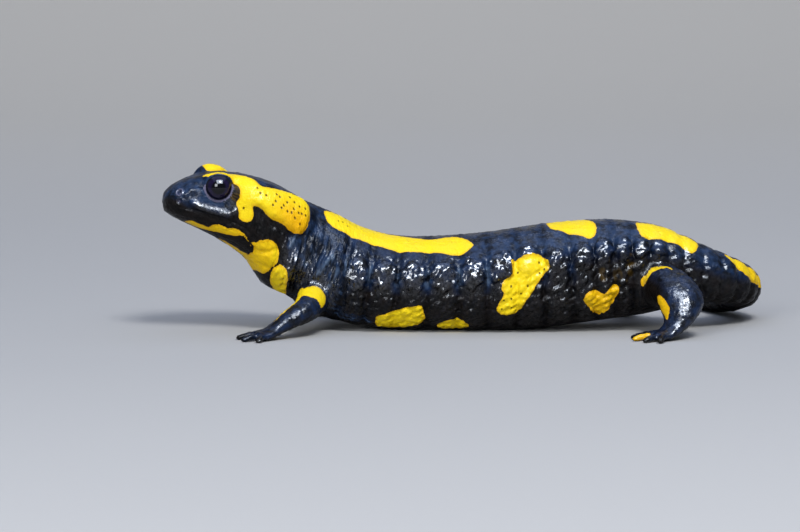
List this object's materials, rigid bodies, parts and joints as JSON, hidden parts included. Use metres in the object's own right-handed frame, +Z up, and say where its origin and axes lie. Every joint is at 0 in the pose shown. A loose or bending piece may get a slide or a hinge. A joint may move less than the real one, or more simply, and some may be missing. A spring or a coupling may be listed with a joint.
{
  "type": "fire salamander",
  "caption": "Life-size still model of a fire salamander that stands with its head raised and its tail swept to one side, glossy black with bright yellow patches.",
  "frame": {"origin": "middle of the bounding box's underside, on the floor that the belly, feet and tail rest on", "axes": "the head points along -X, the trunk lies along X, the animal's left side faces -Y, and +Z is up"},
  "size_m": [0.1146, 0.0912, 0.0314],
  "materials": {
    "skin": "wet, glossy, finely wrinkled black skin with bright yellow patches",
    "eye": "wet, mirror-smooth near-black eye with a dark brown iris"
  },
  "bodies": {
    "root": {"head": "skin", "neck": "skin", "chest": "skin", "belly": "skin", "pelvis": "skin", "tail_base": "skin", "tail_middle": "skin", "tail_end": "skin", "tail_tip": "skin", "upper_arm_left": "skin", "forearm_left": "skin", "hand_left": "skin", "thigh_left": "skin", "shin_left": "skin", "foot_left": "skin", "upper_arm_right": "skin", "forearm_right": "skin", "hand_right": "skin", "thigh_right": "skin", "shin_right": "skin", "foot_right": "skin", "eye_left": "eye", "eye_right": "eye"}
  },
  "joints": []
}
